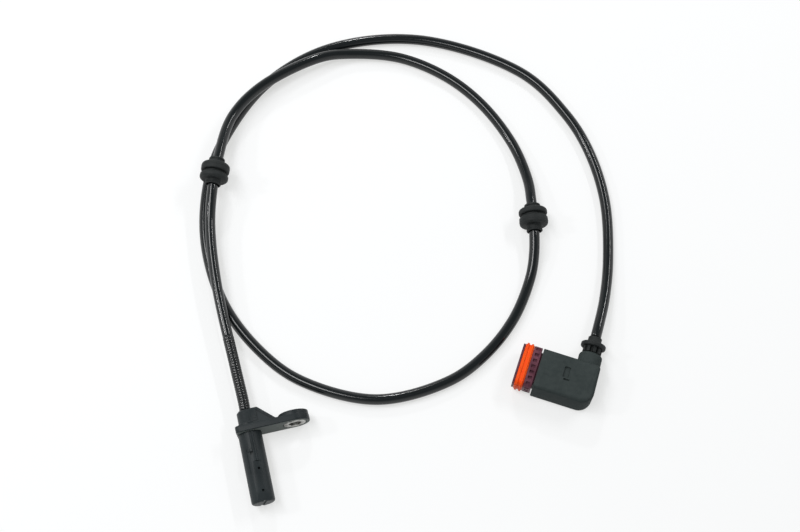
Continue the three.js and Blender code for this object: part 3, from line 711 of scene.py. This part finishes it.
line_half = 0.11
line_floor = 3.85
longest_line = 9.3
fine_lines = []
for reach in (6.9, 8.1, longest_line):
    line = block("gusset_line", (0, -line_half, line_floor), (reach, line_half, 4.3))
    line_foot = 5.1 + (longest_line - reach) * 1.05
    line.data.transform(Matrix.Translation((3.0, line_foot, 0)))
    fine_lines.append(line)
step_floor = 3.6
step_outline = [(5.3, 4.6), (12.2, 4.6), (5.6, 10.4), (5.3, 10.4)]
step_cut = prism("gusset_step", [(x, y, step_floor) for x, y in step_outline], (0, 0, 2))

clear_of_probe = 8
flat_start, flat_end = -probe_length + probe_flat_length, -probe_length - 1
flat_outline = [
    (flat_start, 5.45), (flat_end, 4.62), (flat_end, clear_of_probe), (flat_start, clear_of_probe)]
flat = prism(
    "probe_flat", [(-clear_of_probe, y, z) for y, z in flat_outline], (2 * clear_of_probe, 0, 0))
pin_radius, pin_floor = 0.65, 3.6
pin_holes = [
    rod("pin_hole", pin_radius, pin_floor, clear_of_probe, "Z", (0, -distance), 24)
    for distance in (19.2, 30.3)]
window = block("latch_window", (-0.1, -12.0, 5.1), (1.4, -10.6, clear_of_probe))
slot_half, slot_depth = 0.75, 0.5
tip_slot = block(
    "tip_slot", (-slot_half, -probe_length - 1, -7), (slot_half, slot_depth - probe_length, 7))
hole_radius = bush_radius + fit_gap
bush_hole = turned("bush_hole", [
    (0, -1), (hole_radius, -1), (hole_radius, boss_thickness + 1), (0, boss_thickness + 1)])
bush_hole.data.transform(Matrix.Translation((bolt_offset, 0, 0)))
pocket = block("insert_pocket", (-3.1, -probe_length + 1.3, -1.9), (3.1, 2.2, 1.9))
passage = block("core_passage", (-1.95, 1.7, -1), (1.95, neck_length + 1, 1))
combine(head, "DIFFERENCE", [
    *fine_lines,
    step_cut,
    turn_about_probe(flat, feature_turn),
    *[turn_about_probe(hole, feature_turn) for hole in pin_holes],
    turn_about_probe(window, latch_turn),
    turn_about_probe(tip_slot, feature_turn),
    bush_hole,
    pocket,
    passage,
])
head.name = "head_moulding"
head_frame = Matrix.Translation(head_place)
settle(head, head_frame, 32)


def moulded_finish(name, colour, pale, roughness, grain):
    """Moulded plastic: an even fine grain, faint clouds from the flow, and rubbed spots."""
    finish, shader, start = new_finish(name, colour, roughness, Specular_IOR_Level=0.24)
    place = start.node("ShaderNodeTexCoord", output=3)
    clouds = noise(place, 95.0, 4.0)
    specks = noise(place, grain, 2.0)
    rubbed = rising_share(clouds * 0.75 + specks * 0.3, 0.38, 0.75)
    feed(shader, start,
         Base_Color=blend_colour(rubbed, colour, pale),
         Roughness=roughness - 0.1 + 0.14 * clouds + 0.1 * specks,
         Normal=bump(specks, 0.00003, 0.55))
    return finish


moulded_black = moulded_finish(
    "moulded_black", (0.0125, 0.0175, 0.0195), (0.022, 0.0295, 0.032), 0.42, 3200.0)
fit_piece(head, moulded_black, "head_housing")

# Seat face: the flat front of the flange, which the bolt presses on its pad in the wheel
# carrier. Its faces take a finish of their own, a duller and much paler copy of the moulded black:
# painted light, for the light this face catches.
lit_front_finish = moulded_finish(
    "flange_front_painted_light", (0.155, 0.178, 0.167), (0.21, 0.236, 0.222), 0.6, 2200.0)
head.data.materials.append(lit_front_finish)
for face in head.data.polygons:
    if face.normal.y < -0.99 and abs(face.center.y - head_place.y) < 0.1 * mm:
        face.material_index = 1

# Flange bush: a turned steel sleeve, zinc plated, moulded into the ear. It takes the clamping
# load of the bolt, so both its ends stand a little out of the plastic.
bush_low, bush_high = -0.15, boss_thickness + 0.15
bush_round = 0.35
bolt_hole_radius = 3.2
hole_chamfer = 0.25
waist_depth = 0.7
bush = turned("steel_bush", [
    (bolt_hole_radius + hole_chamfer, bush_low),
    *arc((bush_radius - bush_round, bush_low + bush_round), bush_round, -90, 0, 4),
    (bush_radius, 1.2),
    (bush_radius - waist_depth, 1.9),
    (bush_radius - waist_depth, 3.5),
    (bush_radius, 4.2),
    *arc((bush_radius - bush_round, bush_high - bush_round), bush_round, 0, 90, 4),
    (bolt_hole_radius + hole_chamfer, bush_high),
    (bolt_hole_radius, bush_high - hole_chamfer),
    (bolt_hole_radius, bush_low + hole_chamfer),
    (bolt_hole_radius + hole_chamfer, bush_low),
], 96)
settle(bush, head_frame @ Matrix.Translation((bolt_offset * mm, 0, 0)), 30)

tarnished_steel = (0.07, 0.066, 0.06)
bright_steel = (0.5, 0.5, 0.48)
steel_finish, shader, start = new_finish("bush_steel", bright_steel, 0.3, Metallic=1.0)
place = start.node("ShaderNodeTexCoord", output=3)
axis_at = (-(head_place.x + bolt_offset * mm), 0, -head_place.z)
across_axis = start.node("ShaderNodeMapping", None, {
    "Vector": place, "Location": axis_at, "Scale": (1, 0, 1)})
from_axis = start.node(
    "ShaderNodeVectorMath", {"operation": "LENGTH"}, {0: across_axis}, output=1)
turning = start.node("ShaderNodeTexNoise", {"noise_dimensions": "1D"}, {
    "W": from_axis, "Scale": 9000.0, "Detail": 2.0})
tarnish = noise(place, 420.0, 4.0)
feed(shader, start,
     Base_Color=blend_colour(rising_share(tarnish, 0.36, 0.62), tarnished_steel, bright_steel),
     Roughness=0.2 + 0.16 * turning + 0.14 * tarnish,
     Normal=bump(turning, 0.00003, 0.5))
fit_piece(bush, steel_finish, "flange_bush")

# Insert in the head: a moulded bed with the sensing chip at the tip, a small capacitor across
# the two leads, and a crimp on each lead. The moulding hides it, so the solids stay as made.
def tinned_finish(name, colour, pale):
    finish, shader, start = new_finish(name, colour, 0.32, Metallic=1.0)
    place = start.node("ShaderNodeTexCoord", output=3)
    marks = noise(place, 1400.0, 4.0)
    feed(shader, start,
         Base_Color=blend_colour(marks, colour, pale),
         Roughness=0.22 + 0.2 * marks,
         Normal=bump(marks, 0.00002, 0.4))
    return finish


def core_finish(name, colour, pale):
    finish, shader, start = new_finish(name, colour, 0.4)
    place = start.node("ShaderNodeTexCoord", output=3)
    scuffs = noise(place, 700.0, 4.0)
    feed(shader, start,
         Base_Color=blend_colour(scuffs, colour, pale),
         Roughness=0.3 + 0.2 * scuffs)
    return finish


tin = tinned_finish("tinned_copper", (0.5, 0.47, 0.42), (0.7, 0.67, 0.62))
core_coats = {
    "signal": core_finish("core_brown", (0.1, 0.04, 0.015), (0.15, 0.07, 0.03)),
    "supply": core_finish("core_blue", (0.015, 0.05, 0.26), (0.03, 0.09, 0.36)),
}
solid_finishes = {
    "sensor_carrier": moulded_finish(
        "insert_plastic", (0.26, 0.21, 0.12), (0.32, 0.27, 0.17), 0.5, 2600.0),
    "sensor_chip": moulded_finish(
        "chip_resin", (0.01, 0.01, 0.01), (0.02, 0.02, 0.02), 0.55, 5200.0),
    "filter_capacitor": moulded_finish(
        "capacitor_ceramic", (0.32, 0.19, 0.07), (0.4, 0.26, 0.11), 0.4, 3000.0),
}
for core, coat in core_coats.items():
    solid_finishes["head_core_" + core] = coat
    solid_finishes["plug_core_" + core] = coat
    for kind in ("lead_", "crimp_", "terminal_"):
        solid_finishes[kind + core] = tin
solid_finishes["outlet_seal"] = rubber_finish
for node, finish in solid_finishes.items():
    solid_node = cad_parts[node]
    solid_node.data.materials.clear()
    solid_node.data.materials.append(finish)

# Connector housing: a right-angle shell of black plastic with a fine even grain. Its sides draw
# in towards the top, the heel is round, and the outlet tower ends in a rounded shoulder.
housing_front = 10.5
housing_back = 40.6
housing_width = 23.8
housing_top_width = 21
housing_height = 15
heel_corner = 6.8
head_corner = 2
half = housing_width / 2
lean = math.degrees(tower_lean)


def back_at(y):
    return housing_back - y * math.tan(tower_lean)


plan = [
    (housing_front, -half),
    *arc((back_at(heel_corner - half) - heel_corner, heel_corner - half),
         heel_corner, -90, lean, 14),
    *arc((back_at(half - head_corner) - head_corner, half - head_corner), head_corner, lean, 90, 5),
    (housing_front, half),
]
shell = prism("connector_shell", [(x, y, 0) for x, y in plan], (0, 0, housing_height))
for vertex in shell.data.vertices:
    if vertex.co.z > 1:
        vertex.co.y *= housing_top_width / housing_width
top_round = 1.9
bottom_round = 2.0
mouth_round = 0.25
round_off(shell, top_round, 7, lambda a, b: (
    min(a.z, b.z) > housing_height - 0.1 and max(a.x, b.x) > housing_front + 0.5))
round_off(shell, bottom_round, 6, lambda a, b: (
    max(a.z, b.z) < 0.1 and max(a.x, b.x) > housing_front + 0.5))
round_off(shell, mouth_round, 2, lambda a, b: max(a.x, b.x) < housing_front + 0.1)

tower_radius = 6
tower_top = 17
tower_shoulder = 1.8
outlet_bore = 4
tower_rim = tower_top - 0.2
tower = turned("outlet_tower", [
    (0, 0),
    (tower_radius, 0),
    (tower_radius, 9),
    *arc((tower_radius - tower_shoulder, tower_top - tower_shoulder), tower_shoulder, 0, 84, 9),
    (outlet_bore + 0.45, tower_top),
    (outlet_bore + 0.1, tower_rim),
    (0, tower_rim),
], 80)
to_tower = Matrix.Translation((tower_axis, 0, mid_height)) @ Matrix.Rotation(tower_lean, 4, "Z")
tower.data.transform(to_tower)
combine(shell, "UNION", [tower])


def rounded_block(name, width, height, radius, low, high, edge=0.0, edge_steps=2, steps=7):
    """A block with round long corners, from low to high along X, its ends bevelled by edge."""
    low_corner = (low, -width / 2, mid_height - height / 2)
    high_corner = (high, width / 2, mid_height + height / 2)
    piece = block(name, low_corner, high_corner)
    round_off(piece, radius, steps, lambda a, b: abs(a.x - b.x) > 0.001)
    if edge:
        round_off(piece, edge, edge_steps, lambda a, b: abs(a.x - b.x) < 0.001)
    return piece


carrier_back = housing_front + 14
wall_thickness = 2.2
socket = rounded_block(
    "carrier_socket", 18.1, 10.7, 2.25, housing_front - 1, carrier_back + fit_gap)
core_room = rounded_block(
    "core_room", 17.1, 9.7, 0.5, carrier_back, housing_back - wall_thickness)
bore = rod("outlet_bore", outlet_bore, 4.5, tower_top + 1, "Y", (0, 0), 64)
bore.data.transform(to_tower)
above_top = housing_height + 1
latch_recess = block("latch_recess", (23.1, -0.9, housing_height - 0.9), (26.1, 4.7, above_top))
round_off(latch_recess, 0.5, 4, lambda a, b: abs(a.z - b.z) > 0.1)
latch_slot = block("latch_slot", (23.9, -2.4, housing_height - 1.0), (26.9, -1.5, above_top))
round_off(latch_slot, 0.3, 3, lambda a, b: abs(a.z - b.z) > 0.1)
combine(shell, "DIFFERENCE", [socket, core_room, bore, latch_recess, latch_slot])
settle(shell, connector_frame, 30)

plug_tone = (0.036, 0.046, 0.0455)
plug_rubbed = (0.06, 0.072, 0.07)
parting_half = 0.00009
plug_black, shader, start = new_finish("plug_black", plug_tone, 0.6, Specular_IOR_Level=0.06)
place = start.node("ShaderNodeTexCoord", output=3)
flow = noise(place, 70.0, 4.0)
mottle = noise(place, 480.0, 3.0)
grain = noise(place, 2600.0, 2.0)
height_on_plug = start.node("ShaderNodeSeparateXYZ", None, {0: place}, output=2)
off_parting = start.math("ABSOLUTE", height_on_plug - mid_height * mm) * (1 / parting_half)
parting_line = 1.0 - start.math("MINIMUM", off_parting, 1.0)
rubbed = rising_share(flow * 0.5 + mottle * 0.3 + grain * 0.25, 0.4, 0.72)
feed(shader, start,
     Base_Color=blend_colour(rubbed, plug_tone, plug_rubbed),
     Roughness=0.5 + 0.14 * flow + 0.1 * grain,
     Normal=bump(grain * 0.5 + parting_line, 0.00005, 0.5))
fit_piece(shell, plug_black, "connector_housing")

# Terminal carrier: a plum-coloured insert that snaps into the shell. It holds the contacts, its
# seat and rim carry the seal, and the band with a row of windows closes the shell's mouth.
rim_length = 1.1
seal_span = 4.6
band_length = 4.2
band_width, band_height = 22.6, 12.6
seat_width, seat_height = 18.8, 8.6
carrier_corner = 3.2
band_front = rim_length + seal_span
band_back = band_front + band_length
carrier = rounded_block("plum_carrier", 22, 11.8, carrier_corner, 0, rim_length, 0.2)
seat = rounded_block("seal_seat", seat_width, seat_height, 2.2, rim_length / 2, band_front + 2)
band = rounded_block(
    "window_band", band_width, band_height, carrier_corner, band_front, band_back, 0.3, 3)
tail = rounded_block("carrier_tail", 17.6, 10.2, 2, band_back - 2, carrier_back)
combine(carrier, "UNION", [seat, band, tail])


def block_about(name, middle, half_size):
    low, high = ([a + side * b for a, b in zip(middle, half_size)] for side in (-1, 1))
    return block(name, low, high)


window_pitch = 3.1
window_half = 0.8
window_half_length = 1.05
window_depth = 1.1
middle_of_band = band_front + band_length / 2
windows = []
for i in range(-3, 4):
    for side in (-1, 1):
        middle = (middle_of_band, i * window_pitch, mid_height + side * band_height / 2)
        half_size = (window_half_length, window_half, window_depth)
        windows.append(block_about("band_window", middle, half_size))
for i in range(-1, 2):
    for side in (-1, 1):
        middle = (middle_of_band, side * band_width / 2, mid_height + i * window_pitch)
        half_size = (window_half_length, window_depth, window_half)
        windows.append(block_about("band_window", middle, half_size))
on_its_own(windows[0])
for window in windows[1:]:
    window.select_set(True)
bpy.ops.object.join()
recess_border, recess_depth = 1.6, 0.6
face_recess = rounded_block(
    "face_recess", seat_width - recess_border, seat_height - recess_border, 1.6, -1, recess_depth)
contact_offset = 3.1
bore_half = 1.55
bores = [
    block("contact_bore", (-1, y - bore_half, mid_height - bore_half),
          (carrier_back + 1, y + bore_half, mid_height + bore_half))
    for y in (-contact_offset, contact_offset)]
combine(carrier, "DIFFERENCE", [windows[0], face_recess, *bores])
settle(carrier, connector_frame, 30)

plum_tone = (0.085, 0.022, 0.037)
plum_streak = (0.17, 0.056, 0.082)
plum_finish, shader, start = new_finish("plum_plastic", plum_tone, 0.4, Specular_IOR_Level=0.26)
place = start.node("ShaderNodeTexCoord", output=3)
flow = noise(place, 160.0, 4.0)
grain = noise(place, 3600.0, 2.0)
streak_share = rising_share(flow * 0.8 + grain * 0.22, 0.4, 0.68)
feed(shader, start,
     Base_Color=blend_colour(streak_share, plum_tone, plum_streak),
     Roughness=0.3 + 0.14 * flow + 0.1 * grain,
     Normal=bump(grain, 0.00003, 0.45))
fit_piece(carrier, plum_finish, "terminal_carrier")

# Face seal: a band of orange silicone rubber stretched over the carrier's seat. Its two round
# lips press on the wall of the mating socket.
seal_width, seal_height = 23.6, 13.2
seal_front, seal_back = rim_length + 0.06, band_front - 0.06
seal_length = seal_back - seal_front
lips_stand_out = 1.1
lip_half = 0.58
lip_edge = 0.46
seat_fit = 0.5
seal = rounded_block(
    "orange_seal", seal_width - lips_stand_out, seal_height - lips_stand_out,
    carrier_corner, seal_front, seal_back, 0.3, 3, 9)
lips = []
for share in (0.26, 0.76):
    middle = seal_front + share * seal_length
    lips.append(rounded_block(
        "seal_lip", seal_width, seal_height,
        carrier_corner, middle - lip_half, middle + lip_half, lip_edge, 5, 9))
combine(seal, "UNION", lips)
seal_hole = rounded_block(
    "seal_hole", seat_width + seat_fit, seat_height + seat_fit,
    2.45, seal_front - 1, seal_back + 1)
combine(seal, "DIFFERENCE", [seal_hole])
settle(seal, connector_frame, 50)

deep_orange = (1.0, 0.066, 0.002)
light_orange = (1.0, 0.13, 0.006)
orange_finish, shader, start = new_finish(
    "orange_rubber", deep_orange, 0.5, Specular_IOR_Level=0.22)
place = start.node("ShaderNodeTexCoord", output=3)
tint = noise(place, 260.0, 4.0)
skin = noise(place, 2800.0, 2.0)
feed(shader, start,
     Base_Color=blend_colour(tint, deep_orange, light_orange),
     Roughness=0.4 + 0.12 * tint + 0.12 * skin,
     Normal=bump(skin, 0.00003, 0.45))
fit_piece(seal, orange_finish, "face_seal")

# Cable gland: a rubber plug in the outlet with a ring of lugs that grip the tower's rim, a disc
# to push it home by, and a collar that holds the jacket where it bends.
lug_count = 9
lug_half = 0.85
lug_reach = 4.9
plug_foot = 12
plug_radius = 3.75
waist_radius = 3.3
waist_fillet = 0.4
disc_radius = 6.4
disc_round = 0.8
disc_foot = tower_top + 3.3
collar_radius = 3.5
collar_round = 0.4
collar_foot = disc_foot + 2.4
core_bore = 1.95
gland = turned("outlet_gland", [
    (core_bore, plug_foot),
    (plug_radius, plug_foot),
    (plug_radius, tower_top),
    (waist_radius, tower_top + waist_fillet),
    (waist_radius, disc_foot - waist_fillet),
    *arc((waist_radius + waist_fillet, disc_foot - waist_fillet), waist_fillet, 180, 90, 4),
    *arc((disc_radius - disc_round, disc_foot + disc_round), disc_round, -90, 0, 7),
    *arc((disc_radius - disc_round, collar_foot - disc_round), disc_round, 0, 90, 7),
    *arc((4.1, collar_foot + 0.5), 0.5, 270, 200, 5),
    (collar_radius, collar_foot + 0.9),
    (collar_radius, collar_top - 0.6),
    *arc((collar_radius - collar_round, collar_top - collar_round), collar_round, 0, 90, 5),
    (core_bore, collar_top),
    (core_bore, plug_foot),
], 80)
lugs = []
for i in range(lug_count):
    lug = block(
        "gland_lug", (3.1, tower_top + 0.25, -lug_half), (lug_reach, disc_foot + 0.5, lug_half))
    round_off(lug, 0.28, 3, lambda a, b: max(a.x, b.x) > lug_reach - 0.1)
    lug.data.transform(Matrix.Rotation(2 * math.pi * i / lug_count, 4, "Y"))
    lugs.append(lug)
combine(gland, "UNION", lugs)
gland.data.transform(to_tower)
settle(gland, connector_frame, 40)
fit_piece(gland, rubber_finish, "cable_gland")

# Loose run: the cable with its grommets, gland and connector lies free from the neck of the head.
# It ends in the connector, and all of its length is seen. The line below only lists every sixth
# point of the cable's line and its last, and nothing takes the list.
cable_line[::6] + [cable_line[-1]]
